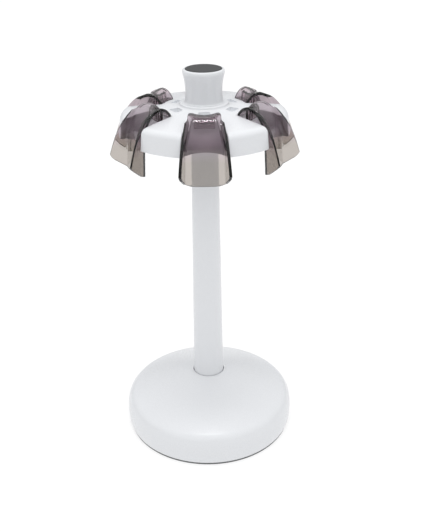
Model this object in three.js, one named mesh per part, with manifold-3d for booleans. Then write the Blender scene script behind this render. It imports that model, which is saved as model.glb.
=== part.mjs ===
// Rotating bench stand for six pipettes, at real size.
// Millimetres, +Z up, origin at the centre of the underside, front towards -Y.
// A heavy round base carries a tapered column. A tie rod clamps base, column and
// spindle together, and the six-armed hub turns on the spindle. Six smoked hoods
// sit in the notches between the arms, and each one lifts straight up out of its notch.

import * as THREE from "three";
import { mergeVertices } from "three/addons/utils/BufferGeometryUtils.js";
import Module from "manifold-3d";

const wasm = await Module();
wasm.setup();

// ---------------------------------------------------------------- driving dimensions

const GAP = 0.3; // clearance between touching pieces
const EDGE_BREAK = 0.4; // small chamfer on moulded edges
const TOTAL_HEIGHT = 330; // floor to the top of the knob

const FOOT_RADIUS = 74.8; // outer radius of the anti-slip ring
const FOOT_THICKNESS = 1.8;
const FOOT_WIDTH = 9;
const BASE_RADIUS = 76.6; // widest part of the base
const BASE_WALL = 2.8;
const DOME_EDGE = { r: 69.5, z: 29.9 }; // where the rounded shoulder meets the dome
const SHOULDER_LOW = 13; // height at which the upright side starts to round over
const DOME_TOP = { r: 19, z: 48.6 }; // where the dome meets the fillet round the column
const COLLAR = { r: 14.7, z: 51.6 }; // top of that fillet
const DOME_UNDERSIDE = 46.4; // height of the dome's inner face beside the socket
const PLATE_THICKNESS = 2.5;
const BALLAST_RADIUS = 54;
const BALLAST_TOP = 19;
const SOCKET_FLOOR = 30; // height at which the column stands in the base

const COLUMN_RADIUS_AT_FLOOR = 14.18; // outer radius of the taper, run down to z = 0
const COLUMN_TAPER = 0.01196; // loss of radius for each millimetre of height
const COLUMN_WALL = 2;
const COLUMN_TOP = 279;

const ROD_RADIUS = 4; // M8 tie rod
const ROD_HOLE = 4.4;
const NUT_RADIUS = 7.5; // across the corners of an M8 nut
const NUT_HEIGHT = 6.5;
const NUT_RECESS_RADIUS = 12;
const WASHER_RADIUS = 10;
const WASHER_THICKNESS = 1.5;
const SPINDLE_RADIUS = 6.5;
const SPINDLE_PLUG_LENGTH = 17; // how far the spindle reaches down inside the column
const FLANGE_RADIUS = 11.4;
const FLANGE_THICKNESS = 2.7;
const THRUST_THICKNESS = 1;

const HOOD_COUNT = 6;
const STEP = (2 * Math.PI) / HOOD_COUNT;
const NOTCH_HALF_ANGLE = THREE.MathUtils.degToRad(15);
const HUB_BOTTOM = 279.5;
const HUB_RADIUS = 68.2; // at the lower edge of an arm's end
const HUB_WALL = 2.5;
const ARM_END_TOP = { r: 60.4, z: 296.7 }; // where an arm's top starts to round over
const ARM_ROOT = { r: 34.7, z: 299.5 };
const BOSS = { r: 19.5, z: 303.5 }; // top edge of the raised boss
const DIMPLE = { inner: 21.5, outer: 28.3, halfInner: 4.2, halfOuter: 5.8, floor: 297.4 };
const POCKET_RADIUS = 18; // plan radius of the concave wall at a notch's inner end
const POCKET_CENTRE_LOW = 71; // its centre's distance from the axis at HUB_BOTTOM
const POCKET_LEAN = 1.12; // how far the wall moves outward for each millimetre down
const MOUTH_RADIUS = 61.2; // outside this radius the notch is open from flank to flank
const POCKET_WALL = 2.3;
const CEILING = 295; // height of the hub's hollow under its top

const HOOD_WALL = 2.2;
const HOOD_APEX = { r: 46.4, z: 306.8 };
const HOOD_FOOT = { r: 34.9, z: 299.8 }; // inner foot of the arch, on the hub
const HOOD_LIP = { r: 80, z: 262 }; // lower end of a cheek's rim
// Lower edge: its height under the back wall, its rise for each millimetre outward, and its outline
// across the hood as (distance from the middle, height). A cheek's lower corner is cut to the points
// of corner, (distance out, height).
const HOOD_EDGE = {
  r: 62,
  z: 255.5,
  rise: 0.53,
  outline: [
    [7, 0],
    [10.5, 0.3],
    [13.5, 1.2],
    [16.2, 2.8],
    [20.6, 3.1],
  ],
  corner: [
    [69.5, 262.5],
    [71.6, 263.8],
    [73.6, 265.7],
    [75.1, 268.1],
    [76, 270.9],
    [76.4, 274],
  ],
};
const HOOD_HALF_WIDTH = 20.6;
// The back wall's inner face from the side: the ends and the two handles of its bend, then its foot.
const BACK_WALL = {
  top: { r: 46.4, z: 304.6 },
  upper: { r: 52, z: 304.6 },
  lower: { r: 58.8, z: 294 },
  knee: { r: 59.8, z: 281 },
  foot: { r: 62.6, z: 250 },
};
const TONGUE = { r: 42, z: 298.9, width: 18, height: 10.4 }; // locating rib under the arch

const KNOB_BOTTOM = 303.9;
const KNOB_LIP = { r: 16.5, z: 326.9 };
const CAP_RADIUS = 14.3;

const BASE_SCREW = { circle: 59.5, head: 3.3, shank: 1.45, length: 14, hole: 1.8, post: 4 };
const COVER_SCREW = { circle: 50, head: 2.7, shank: 1.15, length: 9, hole: 1.5, post: 3.6 };
const SCREW_COUNT = 3;

const FINE = 48; // sides of the large turned parts
const MEDIUM = 32;
const SMALL = 12;

// ---------------------------------------------------------------- materials

function finish(color, roughness, metalness = 0) {
  return new THREE.MeshStandardMaterial({ color, roughness, metalness });
}

const FINISH = {
  whitePlastic: () => finish(0xe9ebee, 0.28),
  greyInsert: () => finish(0x55585c, 0.5),
  smokePlastic: () => finish(0x6f655f, 0.08),
  rubber: () => finish(0x4a4c4f, 0.85),
  darkPlate: () => finish(0x77797c, 0.6),
  castIron: () => finish(0x45474a, 0.7, 0.6),
  steel: () => finish(0xb4b7ba, 0.3, 1),
  acetal: () => finish(0xf2f0ea, 0.45),
  bronze: () => finish(0xb08a4f, 0.35, 1),
};

// ---------------------------------------------------------------- helpers

const point = (x, y) => new THREE.Vector2(x, y);

// Signed volume of an indexed triangle set: negative when its faces point inward.
function signedVolume(vertices, triangles) {
  const a = new THREE.Vector3();
  const b = new THREE.Vector3();
  const c = new THREE.Vector3();
  let total = 0;
  for (let i = 0; i < triangles.length; i += 3) {
    a.fromArray(vertices, 3 * triangles[i]);
    b.fromArray(vertices, 3 * triangles[i + 1]);
    c.fromArray(vertices, 3 * triangles[i + 2]);
    total += a.dot(b.cross(c)) / 6;
  }
  return total;
}

// A three.js geometry as a solid, with shared vertices merged and faces outward.
function solid(geometry) {
  geometry.deleteAttribute("normal");
  geometry.deleteAttribute("uv");
  const merged = mergeVertices(geometry, 1e-4);
  const vertices = Float32Array.from(merged.attributes.position.array);
  const triangles = [];
  const index = merged.index.array;
  for (let i = 0; i < index.length; i += 3) {
    const [a, b, c] = [index[i], index[i + 1], index[i + 2]];
    if (a !== b && b !== c && c !== a) {
      triangles.push(a, b, c);
    }
  }
  if (signedVolume(vertices, triangles) < 0) {
    triangles.reverse();
  }
  const triVerts = Uint32Array.from(triangles);
  return new wasm.Manifold(new wasm.Mesh({ numProp: 3, vertProperties: vertices, triVerts }));
}

// A solid turned about +Z from (radius, height) points, closed on itself.
function turned(profile, sides = MEDIUM) {
  const first = profile[0];
  const last = profile[profile.length - 1];
  const onAxis = first.x === 0 && last.x === 0;
  const points = onAxis ? profile : [...profile, first.clone()];
  return solid(new THREE.LatheGeometry(points, sides).rotateX(Math.PI / 2));
}

// A ring or, with an inner radius of 0, a disc.
function ring(inner, outer, low, high, sides = MEDIUM) {
  return turned([point(inner, low), point(outer, low), point(outer, high), point(inner, high)], sides);
}

// A plan outline raised from one height to another.
function prism(shape, low, high, curveSegments = 12) {
  const options = { depth: high - low, bevelEnabled: false, curveSegments };
  return solid(new THREE.ExtrudeGeometry(shape, options).translate(0, 0, low));
}

function box(width, depth, height, x, y, z) {
  return solid(new THREE.BoxGeometry(width, depth, height).translate(x, y, z));
}

// Points of a cubic curve, ends included.
function curve(a, b, c, d, steps) {
  return new THREE.CubicBezierCurve(a, b, c, d).getPoints(steps);
}

// A solid copied round the axis: count copies, the first at angle start.
function around(body, count, start = 0) {
  const copies = [];
  for (let i = 0; i < count; i += 1) {
    copies.push(body.rotate(0, 0, THREE.MathUtils.radToDeg(start + (i * 2 * Math.PI) / count)));
  }
  return copies;
}

function cutAll(body, cutters) {
  return cutters.reduce((rest, cutter) => rest.subtract(cutter), body);
}

function addAll(body, extras) {
  return extras.reduce((sum, extra) => sum.add(extra), body);
}

function node(name, body, material) {
  const mesh = body.getMesh();
  const geometry = new THREE.BufferGeometry();
  geometry.setAttribute("position", new THREE.BufferAttribute(Float32Array.from(mesh.vertProperties), 3));
  geometry.setIndex(new THREE.BufferAttribute(Uint32Array.from(mesh.triVerts), 1));
  geometry.computeVertexNormals();
  const item = new THREE.Mesh(geometry, material);
  item.name = name;
  return item;
}

// Copies of one piece set round the axis, each a node of its own: name_1, name_2 and so on.
function nodesAround(name, body, material, count, start = 0) {
  const items = [];
  for (let i = 0; i < count; i += 1) {
    const item = node(`${name}_${i + 1}`, body, material());
    item.rotation.z = start + (i * 2 * Math.PI) / count;
    items.push(item);
  }
  return items;
}

const columnRadius = (z) => COLUMN_RADIUS_AT_FLOOR - COLUMN_TAPER * z;

// ---------------------------------------------------------------- base

const PLATE_LOW = FOOT_THICKNESS + GAP;
const PLATE_HIGH = PLATE_LOW + PLATE_THICKNESS;
const RECESS_TOP = PLATE_HIGH + GAP + NUT_HEIGHT + 2.6;
const BASE_INNER_RADIUS = BASE_RADIUS - BASE_WALL - 0.6;
const SCREW_START = Math.PI / 2; // the first base screw is towards the rear

function footRing() {
  const inner = FOOT_RADIUS - FOOT_WIDTH;
  const profile = [
    point(inner, 0),
    point(FOOT_RADIUS - EDGE_BREAK, 0),
    point(FOOT_RADIUS, EDGE_BREAK),
    point(FOOT_RADIUS, FOOT_THICKNESS),
    point(inner, FOOT_THICKNESS),
  ];
  return node("foot_ring", turned(profile, FINE), FINISH.rubber());
}

function baseShell() {
  const shoulder = curve(
    point(BASE_RADIUS, SHOULDER_LOW),
    point(BASE_RADIUS, 22),
    point(75.5, 27.3),
    point(DOME_EDGE.r, DOME_EDGE.z),
    5,
  );
  const socketRadius = columnRadius(SOCKET_FLOOR) + GAP;
  const fillet = curve(
    point(DOME_TOP.r, DOME_TOP.z),
    point(16.8, 49.4),
    point(15.1, 50),
    point(COLLAR.r, COLLAR.z),
    3,
  );
  const innerShoulder = curve(
    point(66.5, 28.1),
    point(71.5, 26),
    point(73, 21),
    point(BASE_INNER_RADIUS, SHOULDER_LOW - 1),
    3,
  );
  const profile = [
    point(BASE_INNER_RADIUS, PLATE_LOW),
    point(FOOT_RADIUS + 0.5, PLATE_LOW),
    point(BASE_RADIUS - EDGE_BREAK, 6),
    ...shoulder,
    ...fillet,
    point(socketRadius, COLLAR.z),
    point(socketRadius, SOCKET_FLOOR),
    point(ROD_HOLE, SOCKET_FLOOR),
    point(ROD_HOLE, BALLAST_TOP + GAP),
    point(socketRadius + BASE_WALL, BALLAST_TOP + GAP),
    point(socketRadius + BASE_WALL, DOME_UNDERSIDE),
    ...innerShoulder,
  ];
  const postTop = DOME_EDGE.z + 0.5;
  const post = ring(0, BASE_SCREW.post, PLATE_HIGH + GAP, postTop, SMALL).translate(BASE_SCREW.circle, 0, 0);
  const hole = ring(0, BASE_SCREW.hole, 0, 17, SMALL).translate(BASE_SCREW.circle, 0, 0);
  const shell = addAll(turned(profile, FINE), around(post, SCREW_COUNT, SCREW_START));
  return node("base_shell", cutAll(shell, around(hole, SCREW_COUNT, SCREW_START)), FINISH.whitePlastic());
}

function bottomPlate() {
  const disc = ring(0, BASE_INNER_RADIUS - GAP, PLATE_LOW, PLATE_HIGH, FINE);
  const counterbore = ring(0, BASE_SCREW.head + 0.4, 0, PLATE_LOW + 1.5, SMALL);
  const hole = counterbore.add(ring(0, BASE_SCREW.hole, 0, 9, SMALL)).translate(BASE_SCREW.circle, 0, 0);
  return node("bottom_plate", cutAll(disc, around(hole, SCREW_COUNT, SCREW_START)), FINISH.darkPlate());
}

function ballastDisc() {
  const low = PLATE_HIGH + GAP;
  const profile = [
    point(ROD_HOLE, RECESS_TOP),
    point(NUT_RECESS_RADIUS, RECESS_TOP),
    point(NUT_RECESS_RADIUS, low),
    point(BALLAST_RADIUS - 1, low),
    point(BALLAST_RADIUS, low + 1),
    point(BALLAST_RADIUS, BALLAST_TOP - 2),
    point(BALLAST_RADIUS - 2, BALLAST_TOP),
    point(ROD_HOLE, BALLAST_TOP),
  ];
  return node("ballast_disc", turned(profile, MEDIUM), FINISH.castIron());
}

// Self-tapping screw standing on its head, with a cross recess.
function screw(size) {
  const headHeight = 1.2;
  const tipLength = 1.2;
  const body = turned(
    [
      point(0, 0),
      point(size.head, 0),
      point(size.head, headHeight * 0.6),
      point(size.shank, headHeight),
      point(size.shank, size.length - tipLength),
      point(0.4, size.length),
      point(0, size.length),
    ],
    SMALL,
  );
  const slotWidth = 0.7;
  const slotDepth = 0.8;
  const slot = box(size.head * 1.2, slotWidth, 2 * slotDepth, 0, 0, 0);
  return cutAll(body, [slot, slot.rotate(0, 0, 90)]);
}

function baseScrews() {
  const one = screw(BASE_SCREW).translate(BASE_SCREW.circle, 0, PLATE_LOW + 0.3);
  return nodesAround("base_screw", one, FINISH.steel, SCREW_COUNT, SCREW_START);
}

// ---------------------------------------------------------------- column and tie rod

const FLANGE_LOW = COLUMN_TOP + GAP;
const FLANGE_HIGH = FLANGE_LOW + FLANGE_THICKNESS;
const SPINDLE_TOP = 299.2;
const TOP_WASHER_LOW = SPINDLE_TOP + GAP;
const TOP_NUT_LOW = TOP_WASHER_LOW + WASHER_THICKNESS + GAP;

function hexNut(name, low) {
  const outline = new THREE.Shape();
  for (let i = 0; i < 6; i += 1) {
    const angle = (i * Math.PI) / 3;
    const corner = [NUT_RADIUS * Math.cos(angle), NUT_RADIUS * Math.sin(angle)];
    if (i === 0) {
      outline.moveTo(...corner);
    } else {
      outline.lineTo(...corner);
    }
  }
  outline.closePath();
  const hole = ring(0, ROD_RADIUS + GAP, low - 1, low + NUT_HEIGHT + 1, SMALL);
  return node(name, prism(outline, low, low + NUT_HEIGHT).subtract(hole), FINISH.steel());
}

function tieRod() {
  const low = PLATE_HIGH + 0.5;
  const high = TOP_NUT_LOW + NUT_HEIGHT + 1.5;
  const chamfer = 0.6;
  const profile = [
    point(0, low),
    point(ROD_RADIUS - chamfer, low),
    point(ROD_RADIUS, low + chamfer),
    point(ROD_RADIUS, high - chamfer),
    point(ROD_RADIUS - chamfer, high),
    point(0, high),
  ];
  return node("tie_rod", turned(profile, SMALL), FINISH.steel());
}

function columnTube() {
  const low = SOCKET_FLOOR + GAP;
  const profile = [
    point(columnRadius(low) - COLUMN_WALL, low),
    point(columnRadius(low), low),
    point(columnRadius(COLUMN_TOP), COLUMN_TOP),
    point(columnRadius(COLUMN_TOP) - COLUMN_WALL, COLUMN_TOP),
  ];
  return node("column_tube", turned(profile, MEDIUM), FINISH.whitePlastic());
}

function spindle() {
  const plugRadius = columnRadius(COLUMN_TOP) - COLUMN_WALL - GAP;
  const plugLow = COLUMN_TOP - SPINDLE_PLUG_LENGTH;
  const leadIn = 1;
  const profile = [
    point(ROD_HOLE, plugLow),
    point(plugRadius - leadIn, plugLow),
    point(plugRadius, plugLow + leadIn),
    point(plugRadius, FLANGE_LOW),
    point(FLANGE_RADIUS, FLANGE_LOW),
    point(FLANGE_RADIUS, FLANGE_HIGH),
    point(SPINDLE_RADIUS, FLANGE_HIGH),
    point(SPINDLE_RADIUS, SPINDLE_TOP),
    point(ROD_HOLE, SPINDLE_TOP),
  ];
  return node("spindle", turned(profile, MEDIUM), FINISH.steel());
}

function washers() {
  const lowerTop = RECESS_TOP - GAP;
  const upperTop = TOP_WASHER_LOW + WASHER_THICKNESS;
  const lower = ring(ROD_RADIUS + GAP, WASHER_RADIUS, lowerTop - WASHER_THICKNESS, lowerTop, SMALL);
  const upper = ring(ROD_RADIUS + GAP, WASHER_RADIUS, TOP_WASHER_LOW, upperTop, MEDIUM);
  const thrustLow = FLANGE_HIGH + GAP;
  const thrustHigh = thrustLow + THRUST_THICKNESS;
  const thrust = ring(SPINDLE_RADIUS + GAP, FLANGE_RADIUS - 0.2, thrustLow, thrustHigh, MEDIUM);
  return [
    node("rod_washer", lower, FINISH.steel()),
    node("retaining_washer", upper, FINISH.steel()),
    node("thrust_washer", thrust, FINISH.acetal()),
  ];
}

// ---------------------------------------------------------------- hub

const BUSH_LOW = FLANGE_HIGH + GAP + THRUST_THICKNESS + GAP;
const BUSH_RADIUS = 9.5;
const BUSH_FLANGE = { r: 12.2, thickness: 1.5 };
const COUNTERBORE = { r: BUSH_FLANGE.r + GAP, floor: 296.9 };
const SLEEVE_RADIUS = 14.5;
const COVER_LOW = HUB_BOTTOM + 0.3;
const COVER_HIGH = COVER_LOW + 2;
const COVER_SCREW_START = SCREW_START + STEP / 2;
const ABOVE = 312; // clear of everything on the hub

// Plan wedge between two radial planes, each moved sideways by inset, towards +X.
function wedge(inset, reach = 100) {
  const apex = inset / Math.sin(NOTCH_HALF_ANGLE);
  const half = (reach - apex) * Math.tan(NOTCH_HALF_ANGLE);
  const shape = new THREE.Shape();
  shape.moveTo(apex, 0);
  shape.lineTo(reach, -half);
  shape.lineTo(reach, half);
  shape.closePath();
  return shape;
}

// The notch between two arms: a wedge whose inner end is a leaning concave wall.
// grow makes the cutter larger on the wall's side and on both flanks.
function notchCutter(grow, low, high) {
  const radius = POCKET_RADIUS + grow * 1.5;
  const reach = 120;
  const outline = new THREE.Shape();
  outline.moveTo(reach, -radius);
  outline.lineTo(reach, radius);
  outline.lineTo(POCKET_CENTRE_LOW, radius);
  outline.absarc(POCKET_CENTRE_LOW, 0, radius, Math.PI / 2, (3 * Math.PI) / 2, false);
  outline.closePath();
  const options = { depth: high - low, bevelEnabled: false, curveSegments: 10 };
  const wall = new THREE.ExtrudeGeometry(outline, options).translate(0, 0, low - HUB_BOTTOM);
  const lean = new THREE.Matrix4().makeShear(0, 0, 0, 0, -POCKET_LEAN, 0);
  wall.applyMatrix4(lean).translate(0, 0, HUB_BOTTOM);
  const mouth = ring(MOUTH_RADIUS - grow, reach, low, high, FINE);
  // At the top the notch ends in a short upright step that follows the hood's inner foot.
  const core = ring(0, HOOD_FOOT.r - GAP - grow, low - 1, high + 1, FINE);
  return solid(wall).add(mouth).intersect(prism(wedge(-grow), low - 1, high + 1)).subtract(core);
}

// Shallow dimple in the hub's top, between the roots of two arms.
function rootDimple() {
  const shape = new THREE.Shape();
  shape.moveTo(DIMPLE.inner, -DIMPLE.halfInner);
  shape.lineTo(DIMPLE.outer, -DIMPLE.halfOuter);
  shape.lineTo(DIMPLE.outer, DIMPLE.halfOuter);
  shape.lineTo(DIMPLE.inner, DIMPLE.halfInner);
  shape.closePath();
  return prism(shape, DIMPLE.floor, ABOVE);
}

function hubBlank() {
  const endCurve = curve(
    point(ARM_END_TOP.r, ARM_END_TOP.z),
    point(64.8, 296.2),
    point(66.5, 294.6),
    point(66.9, 291.5),
    3,
  );
  const profile = [
    point(0, HUB_BOTTOM),
    point(HUB_RADIUS, HUB_BOTTOM),
    ...endCurve.reverse(),
    point(ARM_ROOT.r, ARM_ROOT.z),
    point(26, 300.4),
    point(22, 301.6),
    point(BOSS.r, BOSS.z),
    point(0, BOSS.z),
  ];
  return turned(profile, FINE);
}

// The space inside the arms, open below and joined round the central sleeve.
function hubHollow(bottom) {
  const reach = HUB_RADIUS - HUB_WALL;
  const profile = [
    point(SLEEVE_RADIUS, bottom),
    point(reach, bottom),
    point(reach, COVER_HIGH + GAP),
    point(reach - 1.6, 291),
    point(ARM_END_TOP.r - 0.5, ARM_END_TOP.z - HUB_WALL - 0.4),
    point(36, CEILING),
    point(SLEEVE_RADIUS, CEILING),
  ];
  const hollow = turned(profile, FINE);
  const walls = notchCutter(POCKET_WALL, bottom - 2, ABOVE);
  return cutAll(hollow, around(walls, HOOD_COUNT, -Math.PI / 2));
}

function coverScrewSpots(body) {
  return around(body.translate(COVER_SCREW.circle, 0, 0), SCREW_COUNT, COVER_SCREW_START);
}

function hubShell() {
  const notches = around(notchCutter(0, HUB_BOTTOM - 10, ABOVE), HOOD_COUNT, -Math.PI / 2);
  const dimples = around(rootDimple(), HOOD_COUNT, -Math.PI / 2);
  const posts = coverScrewSpots(ring(0, COVER_SCREW.post, COVER_HIGH + GAP, CEILING + 1, SMALL));
  const pilotHoles = coverScrewSpots(ring(0, COVER_SCREW.hole, HUB_BOTTOM, CEILING - 3, SMALL));
  let hub = hubBlank();
  hub = cutAll(hub, [...notches, ...dimples]);
  hub = hub.subtract(hubHollow(HUB_BOTTOM - 5));
  hub = addAll(hub, posts);
  hub = cutAll(hub, pilotHoles);
  const below = HUB_BOTTOM - 10;
  const bore = turned(
    [
      point(0, below),
      point(SLEEVE_RADIUS + 3, below),
      point(SLEEVE_RADIUS + 3, BUSH_LOW),
      point(BUSH_RADIUS + GAP, BUSH_LOW),
      point(BUSH_RADIUS + GAP, COUNTERBORE.floor),
      point(COUNTERBORE.r, COUNTERBORE.floor),
      point(COUNTERBORE.r, ABOVE),
      point(0, ABOVE),
    ],
    MEDIUM,
  );
  return node("hub_shell", hub.subtract(bore), FINISH.whitePlastic());
}

function hubCover() {
  const slab = ring(0, HUB_RADIUS - HUB_WALL - 0.5, COVER_LOW, COVER_HIGH, FINE);
  const wall = notchCutter(POCKET_WALL + GAP, COVER_LOW - 5, COVER_HIGH + 5);
  const walls = around(wall, HOOD_COUNT, -Math.PI / 2);
  const throat = ring(0, SLEEVE_RADIUS + 3.5, COVER_LOW - 1, COVER_HIGH + 1, MEDIUM);
  const counterbore = ring(0, COVER_SCREW.head + GAP, COVER_LOW - 1, COVER_LOW + 1.5, SMALL);
  const throughHole = ring(0, COVER_SCREW.hole, COVER_LOW - 1, COVER_HIGH + 1, SMALL);
  const holes = coverScrewSpots(counterbore.add(throughHole));
  return node("hub_cover", cutAll(slab, [...walls, throat, ...holes]), FINISH.whitePlastic());
}

function coverScrews() {
  const one = screw(COVER_SCREW).translate(COVER_SCREW.circle, 0, COVER_LOW + 0.1);
  return nodesAround("cover_screw", one, FINISH.steel, SCREW_COUNT, COVER_SCREW_START);
}

function hubBush() {
  const flangeLow = COUNTERBORE.floor + GAP;
  const flangeHigh = flangeLow + BUSH_FLANGE.thickness;
  const profile = [
    point(SPINDLE_RADIUS + GAP, BUSH_LOW),
    point(BUSH_RADIUS, BUSH_LOW),
    point(BUSH_RADIUS, flangeLow),
    point(BUSH_FLANGE.r, flangeLow),
    point(BUSH_FLANGE.r, flangeHigh),
    point(SPINDLE_RADIUS + GAP, flangeHigh),
  ];
  return node("hub_bush", turned(profile, MEDIUM), FINISH.bronze());
}

// ---------------------------------------------------------------- knob

const CAP_LOW = TOTAL_HEIGHT - 2.6;
const CAP_SPIGOT = { r: 5.6, length: 3 };
const SPIGOT_LOW = 299.6; // the knob's spigot stands in the hub's counterbore
const KNOB_HOLLOW = { r: 12.2, waist: 11.8 };

function knob() {
  const flank = curve(
    point(14.9, KNOB_BOTTOM),
    point(14.2, 311),
    point(14.4, 319),
    point(KNOB_LIP.r, KNOB_LIP.z - 0.6),
    6,
  );
  const lip = curve(
    point(KNOB_LIP.r, KNOB_LIP.z - 0.6),
    point(16.7, 328),
    point(15.9, 329.3),
    point(CAP_RADIUS + GAP, TOTAL_HEIGHT - 0.5),
    4,
  );
  const spigotRadius = COUNTERBORE.r - GAP;
  const spigotInner = spigotRadius - 1.6;
  const seat = CAP_LOW - GAP;
  const profile = [
    point(spigotInner, SPIGOT_LOW),
    point(spigotRadius, SPIGOT_LOW),
    point(spigotRadius, KNOB_BOTTOM),
    ...flank,
    ...lip.slice(1),
    point(CAP_RADIUS + GAP, seat),
    point(CAP_SPIGOT.r + 0.4, seat),
    point(CAP_SPIGOT.r + 0.4, seat - 2),
    point(KNOB_HOLLOW.r, seat - 2),
    point(KNOB_HOLLOW.waist, 316),
    point(KNOB_HOLLOW.r, 306),
    point(spigotInner, KNOB_BOTTOM + 0.5),
  ];
  return node("knob", turned(profile, MEDIUM), FINISH.whitePlastic());
}

function knobCap() {
  const spigotLow = CAP_LOW - CAP_SPIGOT.length;
  const profile = [
    point(0, spigotLow),
    point(CAP_SPIGOT.r, spigotLow),
    point(CAP_SPIGOT.r, CAP_LOW),
    point(CAP_RADIUS, CAP_LOW),
    point(CAP_RADIUS, TOTAL_HEIGHT - 0.9),
    point(CAP_RADIUS - 0.6, TOTAL_HEIGHT - 0.4),
    point(7, TOTAL_HEIGHT),
    point(0, TOTAL_HEIGHT),
  ];
  return node("knob_cap", turned(profile, MEDIUM), FINISH.greyInsert());
}

// ---------------------------------------------------------------- hoods

// The arch seen from the side, (radius, height), thinned inward by inset.
function archRegion(inset) {
  const rise = curve(
    point(HOOD_FOOT.r + inset, HOOD_FOOT.z - inset * 0.4),
    point(38 + inset * 0.9, 304 - inset * 0.6),
    point(HOOD_APEX.r - 5.7 + inset * 0.3, HOOD_APEX.z - inset),
    point(HOOD_APEX.r, HOOD_APEX.z - inset),
    4,
  );
  const fall = curve(
    point(HOOD_APEX.r, HOOD_APEX.z - inset),
    point(HOOD_APEX.r + 10.1 - inset * 0.6, HOOD_APEX.z - inset),
    point(72.5 - inset, 293 - inset * 0.4),
    point(HOOD_LIP.r - inset, HOOD_LIP.z),
    5,
  );
  return [
    ...rise,
    ...fall.slice(1),
    point(HOOD_LIP.r + 0.4 - inset, BACK_WALL.foot.z),
    point(HOOD_FOOT.r + inset, BACK_WALL.foot.z),
  ];
}

// A closed side view, (distance out, height), as a slab across the whole hood.
function sideSlab(points) {
  const shape = new THREE.Shape();
  points.forEach(([x, z], i) => (i === 0 ? shape.moveTo(x, z) : shape.lineTo(x, z)));
  shape.closePath();
  const width = 60;
  const slab = new THREE.ExtrudeGeometry(shape, { depth: width, bevelEnabled: false });
  return solid(slab.rotateX(Math.PI / 2).translate(0, width / 2, 0));
}

// The back wall seen from the side: from the ridge down to its lower edge. thickness 0 is its inner face.
function backWall(thickness) {
  const { top, upper, lower, knee, foot } = BACK_WALL;
  const outward = thickness;
  const bend = curve(
    point(top.r + outward * 0.2, top.z + thickness),
    point(upper.r + outward * 0.7, upper.z + thickness * 0.8),
    point(lower.r + outward, lower.z + thickness * 0.5),
    point(knee.r + outward, knee.z),
    6,
  );
  return [...bend, point(foot.r + outward, foot.z)].map((p) => [p.x, p.y]);
}

// Everything above the lower edge, which climbs outward along the cheeks and dips under the back wall.
function hoodFaceView() {
  const low = HOOD_EDGE.z;
  const clear = 30; // the tilt brings the view's top down towards the axis
  const half = [...HOOD_EDGE.outline, [HOOD_HALF_WIDTH, ABOVE - low + clear]];
  const outline = [...half.map(([y, z]) => [-y, z]).reverse(), ...half];
  const shape = new THREE.Shape();
  outline.forEach(([y, z], i) => (i === 0 ? shape.moveTo(y, low + z) : shape.lineTo(y, low + z)));
  shape.closePath();
  const view = new THREE.ExtrudeGeometry(shape, { depth: 70, bevelEnabled: false });
  // Extruded along +Z, then turned so that it runs along +X with its outline in the YZ plane.
  view.rotateX(Math.PI / 2).rotateZ(Math.PI / 2).translate(25, 0, 0);
  const tilt = new THREE.Matrix4().makeShear(0, HOOD_EDGE.rise, 0, 0, 0, 0);
  view.translate(-HOOD_EDGE.r, 0, 0).applyMatrix4(tilt).translate(HOOD_EDGE.r, 0, 0);
  return solid(view);
}

// A holder is a channel, open outward and upward: a ridge over the notch, a back wall that hangs
// from it, and a cheek on either side whose rim follows the arch.
function hoodBody() {
  const everywhere = 120;
  const floor = BACK_WALL.foot.z;
  const plan = prism(wedge(GAP), floor - 10, ABOVE);
  const inside = prism(wedge(GAP + HOOD_WALL), floor - 10, ABOVE);
  const ridge = archRegion(HOOD_WALL).filter((p) => p.x < BACK_WALL.top.r && p.y > HOOD_FOOT.z - HOOD_WALL);
  const underside = sideSlab([
    ...ridge.map((p) => [p.x, p.y]),
    ...backWall(0),
    [BACK_WALL.foot.r, floor - 20],
    [HOOD_FOOT.r + HOOD_WALL, floor - 20],
  ]);
  const channel = sideSlab([
    [BACK_WALL.top.r + HOOD_WALL * 0.2, ABOVE],
    ...backWall(HOOD_WALL),
    [BACK_WALL.foot.r + HOOD_WALL, floor - 20],
    [everywhere, floor - 20],
    [everywhere, ABOVE],
  ]).intersect(inside);
  const block = turned(archRegion(0), FINE).intersect(plan);
  const belowCorner = sideSlab([
    ...HOOD_EDGE.corner,
    [everywhere, HOOD_EDGE.corner.at(-1)[1]],
    [everywhere, floor],
    [HOOD_EDGE.corner[0][0], floor],
  ]);
  return block.subtract(underside).subtract(channel).subtract(belowCorner).intersect(hoodFaceView());
}

// Above the hub's top the ridge may stand over the arms' roots, so it is kept whole there.
function holderHood() {
  const hood = hoodBody();
  const aboveBottom = ring(0, 200, HUB_BOTTOM - 0.6, ABOVE, SMALL);
  const room = notchCutter(0, HUB_BOTTOM - 3, ABOVE);
  const clearRoom = room.intersect(room.translate(GAP, 0, 0));
  const inNotch = hood.intersect(clearRoom).intersect(aboveBottom);
  const belowHub = hood.intersect(ring(MOUTH_RADIUS + GAP - 2, 200, BACK_WALL.foot.z, HUB_BOTTOM - 0.2, FINE));
  const overTop = hood.intersect(ring(0, 200, ARM_ROOT.z + GAP, ABOVE, SMALL));
  const tongue = box(HOOD_WALL, TONGUE.width, TONGUE.height, TONGUE.r, 0, TONGUE.z);
  return addAll(inNotch, [belowHub, overTop, tongue]);
}

// ---------------------------------------------------------------- assembly

const stand = new THREE.Group();
stand.add(
  footRing(),
  bottomPlate(),
  baseShell(),
  ballastDisc(),
  ...baseScrews(),
  columnTube(),
  tieRod(),
  hexNut("rod_nut_lower", PLATE_HIGH + GAP + 0.2),
  hexNut("rod_nut_upper", TOP_NUT_LOW),
  ...washers(),
  spindle(),
);

const carousel = new THREE.Group();
carousel.add(hubShell(), hubBush(), hubCover(), ...coverScrews(), knob(), knobCap());

const holders = new THREE.Group();
holders.add(...nodesAround("holder", holderHood(), FINISH.smokePlastic, HOOD_COUNT, -Math.PI / 2));
carousel.add(holders);

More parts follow.
